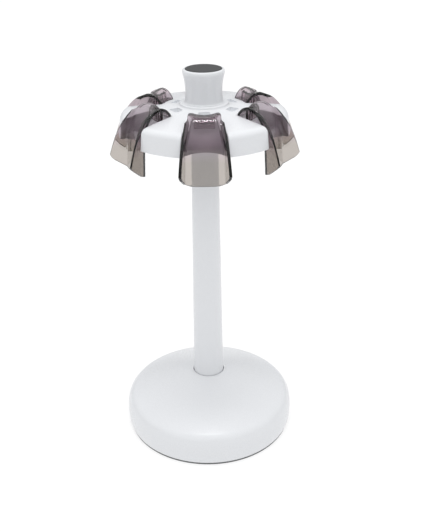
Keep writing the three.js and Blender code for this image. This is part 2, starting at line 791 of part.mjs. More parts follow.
const pipetteStand = new THREE.Group();
pipetteStand.add(stand, carousel);

export default pipetteStand;
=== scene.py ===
"""The looks of a rotating bench stand for six pipettes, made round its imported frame.

Measures are millimetres until a mesh is made. +Z is up and the front hood faces -Y.
"""

import math

import bmesh
import bpy
import numpy as np
from mathutils import Matrix, Vector


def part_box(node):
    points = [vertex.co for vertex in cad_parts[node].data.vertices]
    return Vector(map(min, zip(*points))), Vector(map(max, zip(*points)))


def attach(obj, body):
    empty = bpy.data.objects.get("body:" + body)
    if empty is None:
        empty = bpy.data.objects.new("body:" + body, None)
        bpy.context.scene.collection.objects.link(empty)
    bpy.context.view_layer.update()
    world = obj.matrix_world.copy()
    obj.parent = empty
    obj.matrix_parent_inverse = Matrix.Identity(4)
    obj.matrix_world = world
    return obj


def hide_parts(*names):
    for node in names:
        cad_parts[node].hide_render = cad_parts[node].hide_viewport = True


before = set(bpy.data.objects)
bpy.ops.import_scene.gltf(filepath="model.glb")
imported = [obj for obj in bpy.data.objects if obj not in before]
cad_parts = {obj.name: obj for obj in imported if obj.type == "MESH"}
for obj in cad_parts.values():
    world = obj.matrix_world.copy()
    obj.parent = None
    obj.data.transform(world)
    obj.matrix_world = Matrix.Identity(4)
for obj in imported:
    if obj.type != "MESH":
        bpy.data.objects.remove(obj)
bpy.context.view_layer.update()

MM = 0.001
SAME_POINT = 1e-7  # metres within which two points are one


def low(node):
    """Height of a CAD node's lowest point, in millimetres."""
    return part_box(node)[0].z / MM


def high(node):
    """Height of a CAD node's highest point, in millimetres."""
    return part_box(node)[1].z / MM


def reach(node):
    """Outer radius of a CAD node that is turned about the column's axis, in millimetres."""
    return max(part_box(node)[1].x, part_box(node)[1].y) / MM


# ---------------------------------------------------------------- driving dimensions

GAP = 0.3  # clearance between touching pieces
FINE = 192  # sides of the large turned pieces
MEDIUM = 96  # sides of the column, the cap and the bore
SMALL = 40  # sides of screws, posts and screw holes
SHARP = math.radians(32)  # edges that turn more than this are shaded sharp

HOOD_COUNT = 6
STEP = 2 * math.pi / HOOD_COUNT
FRONT = -math.pi / 2  # plan angle of the front hood
NOTCH_HALF_ANGLE = math.radians(15)

FOOT_TOP = high("foot_ring")
FOOT_RADIUS = reach("foot_ring")
FOOT_WIDTH = 9
BASE_RADIUS = reach("base_shell")
BASE_TOP = high("base_shell")
PLATE_LOW = low("bottom_plate")
PLATE_HIGH = high("bottom_plate")
PLATE_RADIUS = reach("bottom_plate")
SOCKET_FLOOR = 30  # height at which the column stands in the base
BASE_SHOULDER = 13  # height where the base's upright side ends

COLUMN_LOW = low("column_tube")
COLUMN_TOP = high("column_tube")
COLUMN_RADIUS_AT_FLOOR = 14.18
COLUMN_TAPER = 0.01196  # loss of radius for each millimetre of height
COLUMN_WALL = 2

HUB_BOTTOM = low("hub_shell")
HUB_TOP = high("hub_shell")
HUB_RADIUS = reach("hub_shell")
ARM_ROOT = (34.7, 299.5)  # radius and height
ARM_END_TOP = (60.4, 296.7)
CORE_RADIUS = 34.6
MOUTH_RADIUS = 61.2  # outside this radius a notch is open
HUB_WALL = 2.5
BOSS_RADIUS = 19.3
POCKET_RADIUS = 18
POCKET_CENTRE = 71  # distance from the axis, at the hub's underside
POCKET_LEAN = 1.12  # how far the pocket's wall moves outward for each millimetre down
POCKET_WALL = 2.3
SLEEVE_RADIUS = 14.5  # outside of the sleeve round the bearing bush
CEILING = 295  # top of the hub's hollow
DIMPLE_FLOOR = 297.4
DIMPLE_INNER = (21.5, 4.2)  # radius and half width
DIMPLE_OUTER = (28.3, 5.8)
BUSH_RADIUS = reach("hub_bush") - 2.7
COUNTERBORE_RADIUS = reach("hub_bush") + GAP
COUNTERBORE_FLOOR = 296.9
COVER_LOW = low("hub_cover")
COVER_HIGH = high("hub_cover")

KNOB_SEAT = 303.9  # height from which the flutes fade in
KNOB_FOOT = HUB_TOP + 0.08
KNOB_WAIST = 14.8
KNOB_FLARE = 15.9
KNOB_LIP = (16.5, 326.9)
CAP_THICKNESS = 3
KNOB_TOP = high("knob")
CAP_RADIUS = reach("knob_cap")
CAP_TOP = high("knob_cap")
FLUTE_COUNT = 14
FLUTE_DEPTH = 0.28

HOOD_WALL = 2.2
CHEEK_EXTRA = 1.5  # added thickness of a cheek at its shoulder
HOOD_RIM = 0.45  # rounding of the hood's cut edges
HOOD_SAG = 1.3  # how far the ridge dips between its two sides
HOOD_FILLET = 0.9  # rounding between a cheek and the back wall
HOOD_EDGE = (62, 255.5, 0.53)  # radius and height of the lower edge, and its rise outward
# The lower edge across the hood: (distance from the middle, height).
EDGE_OUTLINE = [(0, 0), (7, 0), (10.5, 0.3), (13.5, 1.2), (16.2, 2.8), (17.5, 3.05), (21, 3.1)]
# A cheek's rounded lower corner: (distance out, height above the straight edge).
EDGE_CORNER = [(69, 0), (71.6, 0.15), (73.6, 1.0), (75.1, 2.6), (76, 4.9), (76.6, 8)]
CHEEK_END = 76.0  # distance out of a cheek's lower corner
CHEEK_END_ACROSS = 20.5  # its distance from the hood's middle
TONGUE = (42, 16, 294.5)  # radius, width and lowest point of the ribbed tongue
TONGUE_RIBS = 4
TONGUE_RIB_DEPTH = 0.28

BASE_SCREW_CIRCLE = 59.5
COVER_SCREW_CIRCLE = 50
SCREW_COUNT = 3
FIRST_BASE_SCREW = math.pi / 2  # plan angle
FIRST_COVER_SCREW = math.pi / 2 + STEP / 2


# ---------------------------------------------------------------- outlines

def bezier(a, b, c, d, steps=12):
    """Points of a cubic curve, ends included."""
    t = np.linspace(0, 1, steps + 1)[:, None]
    a, b, c, d = (np.array(p, float) for p in (a, b, c, d))
    return a * (1 - t) ** 3 + 3 * b * t * (1 - t) ** 2 + 3 * c * t * t * (1 - t) + d * t**3


def rounded(corners, turn=math.radians(15)):
    """A closed outline whose corners, given as (x, y, radius), are rounded by arcs."""
    points = []
    plain = [np.array(c[:2], float) for c in corners]
    for i, corner in enumerate(corners):
        radius = corner[2] if len(corner) > 2 else 0
        here = plain[i]
        if radius == 0:
            points.append(here)
            continue
        back = plain[i - 1] - here
        ahead = plain[(i + 1) % len(plain)] - here
        back /= np.linalg.norm(back)
        ahead /= np.linalg.norm(ahead)
        half = math.acos(float(np.clip(back @ ahead, -1, 1))) / 2
        centre = here + (back + ahead) / np.linalg.norm(back + ahead) * radius / math.sin(half)
        start = here + back * radius / math.tan(half) - centre
        end = here + ahead * radius / math.tan(half) - centre
        first = math.atan2(start[1], start[0])
        sweep = (math.atan2(end[1], end[0]) - first + math.pi) % (2 * math.pi) - math.pi
        steps = max(2, math.ceil(abs(sweep) / turn))
        for k in range(steps + 1):
            angle = first + sweep * k / steps
            points.append(centre + radius * np.array((math.cos(angle), math.sin(angle))))
    return np.array(points)


def path(*parts):
    """One outline from points and runs of points; a corner's third number is its rounding."""
    corners = []
    for part in parts:
        if isinstance(part, np.ndarray):
            corners.extend((x, y, 0) for x, y in part)
        else:
            corners.append(part)
    return rounded(corners)


def shrink(outline, inset):
    """A closed outline moved inward by inset, corner by corner."""
    ahead = np.roll(outline, -1, 0) - outline
    ahead /= np.linalg.norm(ahead, axis=1)[:, None]
    normal = np.stack([-ahead[:, 1], ahead[:, 0]], 1)
    before = np.roll(normal, 1, 0)
    mitre = (normal + before) / (1 + (normal * before).sum(1))[:, None]
    x, y = outline[:, 0], outline[:, 1]
    area = (x * np.roll(y, -1) - np.roll(x, -1) * y).sum()
    return outline + mitre * inset * math.copysign(1, area)


# ---------------------------------------------------------------- meshes

def tidy(item):
    """Faces outward, smooth shading, and sharp edges where the surface turns hard."""
    mesh = item.data
    work = bmesh.new()
    work.from_mesh(mesh)
    bmesh.ops.remove_doubles(work, verts=work.verts, dist=SAME_POINT)
    bmesh.ops.dissolve_degenerate(work, edges=work.edges, dist=SAME_POINT)
    bmesh.ops.recalc_face_normals(work, faces=work.faces)
    work.to_mesh(mesh)
    work.free()
    mesh.shade_smooth()
    mesh.set_sharp_from_angle(angle=SHARP)
    return item


def add_mesh(name, points, faces):
    """A tidied object from points in millimetres."""
    mesh = bpy.data.meshes.new(name)
    mesh.from_pydata((np.asarray(points, float) * MM).tolist(), [], faces)
    item = bpy.data.objects.new(name, mesh)
    bpy.context.scene.collection.objects.link(item)
    return tidy(item)


def stack(name, rings, ends="capped"):
    """A closed body through rings of points, each ring alike in number.

    Its two ends are capped, or ends="joined" runs the last ring back into the first.
    """
    rings = np.asarray(rings, float)
    count, sides = rings.shape[:2]
    faces = []
    for i in range(count if ends == "joined" else count - 1):
        here = i * sides
        there = (i + 1) % count * sides
        for j in range(sides):
            k = (j + 1) % sides
            faces.append((here + j, here + k, there + k, there + j))
    if ends == "capped":
        faces.append(tuple(range(sides - 1, -1, -1)))
        faces.append(tuple(range((count - 1) * sides, count * sides)))
    return add_mesh(name, rings.reshape(-1, 3), faces)


def turned(name, outline, sides=MEDIUM, ends="joined", shape=None):
    """A body turned about the axis. shape changes the radius by radius, height and angle."""
    angles = np.arange(sides) * 2 * math.pi / sides
    rings = []
    for r, z in outline:
        radius = np.full(sides, float(r)) if shape is None else shape(r, z, angles)
        rings.append(np.stack([radius * np.cos(angles), radius * np.sin(angles), np.full(sides, z)], 1))
    return stack(name, rings, ends)


def sector(name, outline, half_angle, fillet, slices=16):
    """A slice of a turned body between two planes through the axis, its rims rounded by fillet."""
    rounds = [math.pi / 2 * k / 4 for k in range(5)]
    rims = [(fillet * (1 - math.cos(a)), fillet * (1 - math.sin(a))) for a in rounds]
    rings = []
    for side in (-1, 1):
        for distance, inset in rims if side < 0 else rims[::-1]:
            loop = shrink(outline, inset)
            angle = side * (half_angle - np.arcsin(distance / loop[:, 0]))
            rings.append((loop, angle))
        if side < 0:
            edge = half_angle - np.arcsin(fillet / outline[:, 0])
            for k in range(1, slices):
                rings.append((outline, edge * (2 * k / slices - 1)))
    points = [
        np.stack([loop[:, 0] * np.cos(angle), loop[:, 0] * np.sin(angle), loop[:, 1]], 1)
        for loop, angle in rings
    ]
    return stack(name, points)


def prism(name, outline, bottom, top, shift=0):
    """A plan outline raised from bottom to top, its top moved by shift along X."""
    outline = np.asarray(outline, float)
    lower = np.column_stack([outline, np.full(len(outline), bottom)])
    upper = np.column_stack([outline[:, 0] + shift, outline[:, 1], np.full(len(outline), top)])
    return stack(name, [lower, upper])


def combine(body, others, operation="DIFFERENCE"):
    """Cuts others out of body, or joins or intersects them with it, and removes them."""
    for other in others:
        step = body.modifiers.new(operation.lower(), "BOOLEAN")
        step.operation = operation
        step.solver = "MANIFOLD"
        step.object = other
    bpy.context.view_layer.update()
    evaluated = body.evaluated_get(bpy.context.evaluated_depsgraph_get())
    result = bpy.data.meshes.new_from_object(evaluated)
    old = body.data
    body.modifiers.clear()
    body.data = result
    result.name = body.name
    bpy.data.meshes.remove(old)
    for other in others:
        mesh = other.data
        bpy.data.objects.remove(other)
        bpy.data.meshes.remove(mesh)
    return tidy(body)


def copy_turned(item, name, angle):
    """A copy of item, turned about the axis."""
    copy = bpy.data.objects.new(name, item.data.copy())
    copy.data.transform(Matrix.Rotation(angle, 4, "Z"))
    bpy.context.scene.collection.objects.link(copy)
    return copy


def moved(item, x):
    """The item itself, moved outward along X."""
    item.data.transform(Matrix.Translation((x * MM, 0, 0)))
    return item


def around(item, count, start):
    """Copies of item round the axis, which replace it."""
    step = 2 * math.pi / count
    copies = [copy_turned(item, f"{item.name}_{i}", start + i * step) for i in range(count)]
    bpy.data.objects.remove(item)
    return copies


# ---------------------------------------------------------------- materials

PLASTIC_IOR = 1.49
DYE_DENSITY = 270  # absorption per metre of smoked wall
PAINTED_LIGHT_LOW = 0.274  # metres; painted light: below this height the smoke's base colour is painted darker and warm, and above the next height lighter and violet
PAINTED_LIGHT_HIGH = 0.288


def nodes_of(name):
    """A new material, its tree and its shader."""
    material = bpy.data.materials.new(name)
    material.use_nodes = True
    return material, material.node_tree, material.node_tree.nodes["Principled BSDF"]


def noise(tree, scale, detail=3, stretch=None):
    """Noise over the object's own coordinates, in metres. scale is features per metre."""
    place = tree.nodes.new("ShaderNodeTexCoord").outputs["Object"]
    if stretch:
        mapping = tree.nodes.new("ShaderNodeMapping")
        mapping.inputs["Scale"].default_value = stretch
        tree.links.new(place, mapping.inputs["Vector"])
        place = mapping.outputs["Vector"]
    texture = tree.nodes.new("ShaderNodeTexNoise")
    texture.inputs["Scale"].default_value = scale
    texture.inputs["Detail"].default_value = detail
    tree.links.new(place, texture.inputs["Vector"])
    return texture.outputs["Fac"]


def spread(tree, value, bottom, top, start=0.35, end=0.65):
    """value taken from start..end to bottom..top."""
    node = tree.nodes.new("ShaderNodeMapRange")
    node.inputs["From Min"].default_value = start
    node.inputs["From Max"].default_value = end
    node.inputs["To Min"].default_value = bottom
    node.inputs["To Max"].default_value = top
    tree.links.new(value, node.inputs["Value"])
    return node.outputs["Result"]


def blend_colours(tree, value, first, second):
    """The colour from first to second as value goes from 0 to 1."""
    node = tree.nodes.new("ShaderNodeMix")
    node.data_type = "RGBA"
    node.inputs["A"].default_value = (*first, 1)
    node.inputs["B"].default_value = (*second, 1)
    tree.links.new(value, node.inputs["Factor"])
    return node.outputs["Result"]


def bump(tree, shader, height, depth, strength=1.0):
    """Relief of depth metres from a height value."""
    node = tree.nodes.new("ShaderNodeBump")
    node.inputs["Strength"].default_value = strength
    node.inputs["Distance"].default_value = depth
    tree.links.new(height, node.inputs["Height"])
    tree.links.new(node.outputs["Normal"], shader.inputs["Normal"])


def surface(name, light, dark, rough, grain, relief, patch=60, metal=0.0, stretch=None):
    """A solid material: two close colours in soft patches, uneven gloss and a fine grain.

    grain and patch are features per metre, and relief is the grain's depth in metres.
    """
    material, tree, shader = nodes_of(name)
    shader.inputs["Metallic"].default_value = metal
    shader.inputs["IOR"].default_value = PLASTIC_IOR
    soft = noise(tree, patch, 4)
    tree.links.new(blend_colours(tree, soft, light, dark), shader.inputs["Base Color"])
    fine = noise(tree, grain, 5, stretch)
    tree.links.new(spread(tree, fine, *rough), shader.inputs["Roughness"])
    bump(tree, shader, fine, relief)
    return material


def smoked_acrylic():
    """Clear resin with a smoky dye that darkens with thickness.

    Its base colour is painted light by height: darker and warmer below, lighter and violet above, where it
    stands in for light from the white hub behind the smoke.
    """
    material, tree, shader = nodes_of("smoked_acrylic")
    shader.inputs["Transmission Weight"].default_value = 1
    shader.inputs["IOR"].default_value = PLASTIC_IOR
    split = tree.nodes.new("ShaderNodeSeparateXYZ")
    tree.links.new(tree.nodes.new("ShaderNodeTexCoord").outputs["Object"], split.inputs["Vector"])
    # painted light: the base colour turns from darker and warm to lighter and violet with height
    height = spread(tree, split.outputs["Z"], 0, 1, PAINTED_LIGHT_LOW, PAINTED_LIGHT_HIGH)
    painted_light_tint = blend_colours(tree, height, (0.82, 0.77, 0.72), (0.97, 0.85, 0.93))
    tree.links.new(painted_light_tint, shader.inputs["Base Color"])
    polish = noise(tree, 700, 4)
    tree.links.new(spread(tree, polish, 0.02, 0.06), shader.inputs["Roughness"])
    bump(tree, shader, noise(tree, 90, 2), 0.00004, 0.3)
    dye = tree.nodes.new("ShaderNodeVolumeAbsorption")
    dye.inputs["Color"].default_value = (0.20, 0.17, 0.16, 1)
    dye.inputs["Density"].default_value = DYE_DENSITY
    tree.links.new(dye.outputs["Volume"], tree.nodes["Material Output"].inputs["Volume"])
    return material


WHITE = surface("white_abs", (0.80, 0.815, 0.84), (0.785, 0.80, 0.825), (0.24, 0.34), 2400, 0.000006)
GREY_CAP = surface("grey_insert", (0.024, 0.026, 0.028), (0.018, 0.019, 0.021), (0.4, 0.52), 3200, 0.00003)
RUBBER = surface("rubber", (0.16, 0.165, 0.17), (0.12, 0.125, 0.13), (0.7, 0.9), 1800, 0.00006)
PLATE = surface("textured_plate", (0.30, 0.31, 0.32), (0.26, 0.27, 0.28), (0.5, 0.7), 2200, 0.00008)
IRON = surface("cast_iron", (0.13, 0.13, 0.14), (0.09, 0.09, 0.095), (0.6, 0.85), 900, 0.0002, 40, 0.4)
STEEL = surface("zinc_steel", (0.62, 0.63, 0.65), (0.54, 0.55, 0.57), (0.2, 0.42), 900, 0.00001, 120, 1.0)
TURNED = surface("turned_steel", (0.60, 0.61, 0.63), (0.55, 0.56, 0.58), (0.15, 0.4), 260, 0.000012, 120, 1.0,
                 stretch=(1, 1, 30))
ACETAL = surface("acetal", (0.80, 0.79, 0.75), (0.76, 0.75, 0.71), (0.35, 0.5), 1500, 0.00001)
BRONZE = surface("bearing_bronze", (0.50, 0.33, 0.14), (0.40, 0.26, 0.11), (0.3, 0.5), 1600, 0.00002, 90, 1.0)
SMOKE = smoked_acrylic()


def place(item, body, material, slot, *replaced):
    """Puts a finished piece on its body, in its material, for the CAD nodes that it stands for."""
    item.data.materials.clear()
    item.data.materials.append(material)
    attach(item, body)
    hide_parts(*replaced)
    return item


# ---------------------------------------------------------------- base

def foot_ring():
    """The soft ring under the base, with three grooves in its tread."""
    inner = FOOT_RADIUS - FOOT_WIDTH
    corners = [(inner, FOOT_TOP, 0.3), (FOOT_RADIUS, FOOT_TOP, 0.3), (FOOT_RADIUS, 0, 0.45)]
    groove = 1.0
    pitch = 2.2
    depth = 0.6
    for k in range(3):
        outer_edge = FOOT_RADIUS - 1.9 - k * pitch
        corners += [(outer_edge, 0, 0.15), (outer_edge, depth, 0.15)]
        corners += [(outer_edge - groove, depth, 0.15), (outer_edge - groove, 0, 0.15)]
    corners.append((inner, 0, 0.3))
    place(turned("foot_ring_fine", rounded(corners), FINE), "stand", RUBBER, "rubber_ring", "foot_ring")


def base_shell():
    """The domed base, hollow from below, with a socket for the column and three screw posts."""
    inner = PLATE_RADIUS + GAP
    socket = COLUMN_RADIUS_AT_FLOOR - COLUMN_TAPER * SOCKET_FLOOR + GAP
    ballast_top = high("ballast_disc") + GAP
    rod_hole = 4.4
    side = (BASE_RADIUS, BASE_SHOULDER)
    cone_foot = (69.5, 29.9)
    collar = (19, 48.6)
    outline = path(
        (inner, PLATE_LOW, 0.4),
        (FOOT_RADIUS + 0.5, PLATE_LOW, 0.5),
        bezier((BASE_RADIUS - 0.9, PLATE_LOW + 1.2), (BASE_RADIUS - 0.3, 5), (BASE_RADIUS, 9), side, 8),
        bezier(side, (BASE_RADIUS, 22), (75.5, 27.3), cone_foot, 20)[1:],
        bezier(cone_foot, (54, 36.4), (37, 42.6), collar, 16)[1:],
        bezier(collar, (16.8, 49.4), (15.1, 50), (14.7, BASE_TOP - 0.3), 8)[1:],
        (socket, BASE_TOP, 0.15),
        (socket, SOCKET_FLOOR, 0.5),
        (rod_hole, SOCKET_FLOOR, 0.4),
        (rod_hole, ballast_top, 0.4),
        (socket + 2.8, ballast_top, 0.5),
        (socket + 2.8, 46.4, 1.5),
        bezier((66.5, 28.1), (71.5, 26), (73, 21), (inner, 12), 8),
    )
    shell = turned("base_shell_fine", outline, FINE)
    foot = PLATE_HIGH + GAP
    post = rounded([(1.8, foot, 0.3), (4, foot, 0.3), (4, 30.4, 0), (1.8, 17, 0)])
    posts = moved(turned("post", post, SMALL), BASE_SCREW_CIRCLE)
    combine(shell, around(posts, SCREW_COUNT, FIRST_BASE_SCREW), "UNION")
    place(shell, "stand", WHITE, "white_plastic", "base_shell")


def bottom_plate():
    """A flat cover with a raised rim, two ring-shaped recessed bands on its underside and sunk screw seats.
    """
    sunk = 0.7
    outline = rounded([
        (0.5, PLATE_LOW + sunk, 0), (22, PLATE_LOW + sunk, 0.5), (23.5, PLATE_LOW, 0.5),
        (49, PLATE_LOW, 0.5), (50.5, PLATE_LOW + sunk, 0.5), (67, PLATE_LOW + sunk, 0.5),
        (68.5, PLATE_LOW, 0.5), (PLATE_RADIUS, PLATE_LOW, 0.4), (PLATE_RADIUS, PLATE_HIGH, 0.4),
        (0.5, PLATE_HIGH, 0),
    ])
    plate = turned("bottom_plate_fine", outline[1:-1], FINE, "capped")
    seat = rounded([(5.2, PLATE_LOW - 1, 0), (5.2, PLATE_HIGH - 1, 0.4), (0.1, PLATE_HIGH - 1, 0),
                    (0.1, PLATE_LOW - 1, 0)])
    hole = rounded([(1.8, PLATE_LOW - 1, 0), (1.8, PLATE_HIGH + 1, 0), (0.1, PLATE_HIGH + 1, 0),
                    (0.1, PLATE_LOW - 1, 0)])
    cutters = []
    for shape in (seat, hole):
        cutter = moved(turned("cutter", shape, SMALL, "capped"), BASE_SCREW_CIRCLE)
        cutters += around(cutter, SCREW_COUNT, FIRST_BASE_SCREW)
    combine(plate, cutters)
    place(plate, "stand", PLATE, "dark_plate", "bottom_plate")


def screw(name, head, shank, length, foot):
    """A pan-head self-tapping screw standing on its head, with a cross recess and thread ridges."""
    thickness = 1.2
    corners = [(0.1, foot, 0), (head * 0.55, foot, 0.6), (head, foot + 0.45, 0.3), (head, foot + 0.85, 0.1),
               (shank, foot + thickness, 0.15)]
    pitch = 0.9
    ridge = 0.32
    turns = int((length - thickness - 2.2) / pitch)
    for k in range(turns):
        z = foot + thickness + 0.8 + k * pitch
        corners += [(shank - ridge, z, 0), (shank, z + pitch / 2, 0)]
    corners += [(shank - ridge, foot + length - 1.4, 0.1), (0.1, foot + length, 0)]
    body = turned(name, rounded(corners), SMALL, "capped")
    slots = []
    wide = 0.42
    deep = 0.9
    for angle in (0, math.pi / 2):
        bar = rounded([(-head * 0.6, -wide, 0.15), (head * 0.6, -wide, 0.15), (head * 0.6, wide, 0.15),
                       (-head * 0.6, wide, 0.15)])
        slot = prism("slot", bar, foot - 1, foot + deep)
        slot.data.transform(Matrix.Rotation(angle, 4, "Z"))
        slots.append(slot)
    return combine(body, slots)


def screws(node, body, circle, head, shank, length, start):
    """One screw, copied round the axis in place of the CAD nodes node_1, node_2 and node_3."""
    one = moved(screw(node, head, shank, length, low(f"{node}_1")), circle)
    for i in range(SCREW_COUNT):
        name = f"{node}_{i + 1}"
        item = copy_turned(one, f"{name}_fine", start + i * 2 * math.pi / SCREW_COUNT)
        place(item, body, STEEL, "steel", name)
    bpy.data.objects.remove(one)


# ---------------------------------------------------------------- column and its inside

def column_radius(z):
    """Outer radius of the tapered column at height z."""
    return COLUMN_RADIUS_AT_FLOOR - COLUMN_TAPER * z


def column_tube():
    """The tapered tube, its ends rounded."""
    outline = rounded([
        (column_radius(COLUMN_LOW) - COLUMN_WALL, COLUMN_LOW, 0.3),
        (column_radius(COLUMN_LOW), COLUMN_LOW, 0.6),
        (column_radius(COLUMN_TOP), COLUMN_TOP, 0.5),
        (column_radius(COLUMN_TOP) - COLUMN_WALL, COLUMN_TOP, 0.3),
    ])
    place(turned("column_tube_fine", outline, MEDIUM), "stand", WHITE, "white_plastic", "column_tube")


# ---------------------------------------------------------------- hub

def wedge(inset, reach_out=100):
    """Plan wedge of a notch, towards +X, each flank moved inward by inset."""
    apex = inset / math.sin(NOTCH_HALF_ANGLE)
    half = (reach_out - apex) * math.tan(NOTCH_HALF_ANGLE)
    return [(apex, 0), (reach_out, -half), (reach_out, half)]


def leaning_pocket(name, grow, bottom, top):
    """The cutter of a notch's concave inner wall, which leans outward towards the bottom."""
    radius = POCKET_RADIUS + grow * 1.5
    centre = POCKET_CENTRE - POCKET_LEAN * (bottom - HUB_BOTTOM)
    turns = np.linspace(math.pi / 2, 3 * math.pi / 2, 49)
    arc = np.stack([centre + radius * np.cos(turns), radius * np.sin(turns)], 1)
    outline = np.concatenate([[(centre + 60, radius)], arc, [(centre + 60, -radius)]])
    return prism(name, outline, bottom, top, -POCKET_LEAN * (top - bottom))


def notch_tool(name, grow, bottom, top):
    """The whole notch, larger by grow on its wall and on both flanks."""
    tool = leaning_pocket(name, grow, bottom, top)
    inner = MOUTH_RADIUS - grow
    mouth = turned("mouth", rounded([(inner, bottom), (110, bottom), (110, top), (inner, top)]), FINE)
    combine(tool, [mouth], "UNION")
    combine(tool, [prism("wedge", wedge(-grow), bottom - 1, top + 1)], "INTERSECT")
    core_edge = CORE_RADIUS - grow
    below = bottom - 2
    above = top + 2
    plug = rounded([(0.5, below), (core_edge, below), (core_edge, above), (0.5, above)])
    return combine(tool, [turned("core", plug, FINE)])


def arm_outline():
    """Half of an arm's section, radius and height, from the middle out to the rounded shoulder."""
    bottom = HUB_BOTTOM
    return path(
        (24, bottom, 0),
        (HUB_RADIUS, bottom, 0.6),
        bezier((HUB_RADIUS - 1.3, 291.5), (66.5, 294.6), (64.8, 296.2), ARM_END_TOP, 14),
        bezier(ARM_END_TOP, (52, 297.7), (43, 298.7), ARM_ROOT, 6)[1:],
        (33, 299.7, 0),
        (31.5, 298.7, 0),
        (24, 298, 0),
    )


def hub_core():
    """The round middle: a low cone that rises into the boss under the knob."""
    return turned("core", path(
        (SLEEVE_RADIUS - 4, HUB_BOTTOM, 0),
        (CORE_RADIUS, HUB_BOTTOM, 0),
        (CORE_RADIUS, ARM_ROOT[1], 0.6),
        bezier((28, 300.15), (23.5, 300.5), (20.6, 300.9), (BOSS_RADIUS + 0.3, HUB_TOP - 1.2), 12),
        (BOSS_RADIUS, HUB_TOP, 0.7),
        (SLEEVE_RADIUS - 4, HUB_TOP, 0),
    ), FINE)


def hub_hollow():
    """What is cut out of the hub from below, leaving a wall round each notch."""
    reach_out = HUB_RADIUS - HUB_WALL
    below = HUB_BOTTOM - 5
    hollow = turned("hollow", rounded([
        (SLEEVE_RADIUS, below), (reach_out, below), (reach_out, COVER_HIGH + GAP), (reach_out - 1.6, 291, 2),
        (ARM_END_TOP[0] - 0.5, ARM_END_TOP[1] - 2.9, 2), (36, CEILING, 1), (SLEEVE_RADIUS, CEILING, 1),
    ]), FINE)
    walls = around(notch_tool("wall", POCKET_WALL, below - 2, CEILING + 5), HOOD_COUNT, FRONT)
    return combine(hollow, walls)


def dimple():
    """A shallow tapered recess between two arm roots."""
    near, near_half = DIMPLE_INNER
    far, far_half = DIMPLE_OUTER
    corner = 0.8
    plan = rounded([(near, -near_half, corner), (far, -far_half, corner), (far, far_half, corner),
                    (near, near_half, corner)])
    floor_z = DIMPLE_FLOOR
    soft = 0.5
    levels = [(floor_z, soft), (floor_z + 0.15, soft * 0.4), (floor_z + soft, 0), (HUB_TOP + 2, 0)]
    rings = [np.column_stack([shrink(plan, inset), np.full(len(plan), z)]) for z, inset in levels]
    return stack("dimple", rings)


def hub_bore():
    """The stepped hole along the axis, for the bush, the washer and the knob's spigot."""
    below = HUB_BOTTOM - 10
    above = HUB_TOP + 5
    bush_low = low("hub_bush")
    mouth = SLEEVE_RADIUS + 3
    return turned("bore", rounded([
        (0.5, below), (mouth, below), (mouth, bush_low), (BUSH_RADIUS + GAP, bush_low),
        (BUSH_RADIUS + GAP, COUNTERBORE_FLOOR), (COUNTERBORE_RADIUS, COUNTERBORE_FLOOR),
        (COUNTERBORE_RADIUS, above), (0.5, above),
    ]), MEDIUM)


def hub_shell():
    """The six-armed head: ring, pockets, arms, core, hollow, bore, dimples and screw posts."""
    inner = 30
    ring = rounded([(inner, HUB_BOTTOM), (MOUTH_RADIUS, HUB_BOTTOM), (MOUTH_RADIUS, 294.5), (inner, 297.9)])
    hub = turned("hub_shell_fine", ring, FINE)
    pockets = leaning_pocket("pocket", 0, HUB_BOTTOM - 4, HUB_TOP)
    combine(hub, around(pockets, HOOD_COUNT, FRONT))
    arm = sector("arm", arm_outline(), NOTCH_HALF_ANGLE, 0.8)
    combine(hub, [hub_core(), *around(arm, HOOD_COUNT, FRONT + STEP / 2)], "UNION")
    combine(hub, [hub_hollow(), hub_bore(), *around(dimple(), HOOD_COUNT, FRONT)])
    foot = COVER_HIGH + GAP
    post = rounded([(1.5, foot, 0.3), (3.6, foot, 0.3), (3.6, CEILING + 1), (1.5, CEILING - 3)])
    one = moved(turned("post", post, SMALL), COVER_SCREW_CIRCLE)
    posts = around(one, SCREW_COUNT, FIRST_COVER_SCREW)
    combine(hub, posts, "UNION")
    place(hub, "carousel", WHITE, "white_plastic", "hub_shell")


def hub_cover():
    """The plate that closes the head's underside, notched, with sunk screw seats."""
    inner = SLEEVE_RADIUS + 3.5
    outer = HUB_RADIUS - 3
    slab = rounded([(inner, COVER_LOW, 0.3), (outer, COVER_LOW, 0.4), (outer, COVER_HIGH, 0.3),
                    (inner, COVER_HIGH, 0.3)])
    cover = turned("hub_cover_fine", slab, FINE)
    wall = notch_tool("wall", POCKET_WALL + GAP, COVER_LOW - 5, COVER_HIGH + 5)
    walls = around(wall, HOOD_COUNT, FRONT)
    cutters = []
    for radius, top in ((3, COVER_LOW + 1.5), (1.5, COVER_HIGH + 1)):
        shape = rounded([(radius, COVER_LOW - 1), (radius, top), (0.1, top), (0.1, COVER_LOW - 1)])
        cutter = moved(turned("cutter", shape, SMALL, "capped"), COVER_SCREW_CIRCLE)
        cutters += around(cutter, SCREW_COUNT, FIRST_COVER_SCREW)
    combine(cover, walls + cutters)
    place(cover, "carousel", WHITE, "white_plastic", "hub_cover")


# ---------------------------------------------------------------- knob

def fluted(r, z, angles):
    """Soft upright flutes round the knob's waist, fading out towards both ends."""
    rise = np.clip((z - KNOB_SEAT - 2) / 6, 0, 1) * np.clip((KNOB_LIP[1] - 2 - z) / 6, 0, 1)
    outside = 1.0 if r > CAP_RADIUS - 0.6 and KNOB_SEAT < z < KNOB_LIP[1] else 0.0
    wave = 0.5 - 0.5 * np.cos(angles * FLUTE_COUNT)
    return r - FLUTE_DEPTH * rise * outside * wave


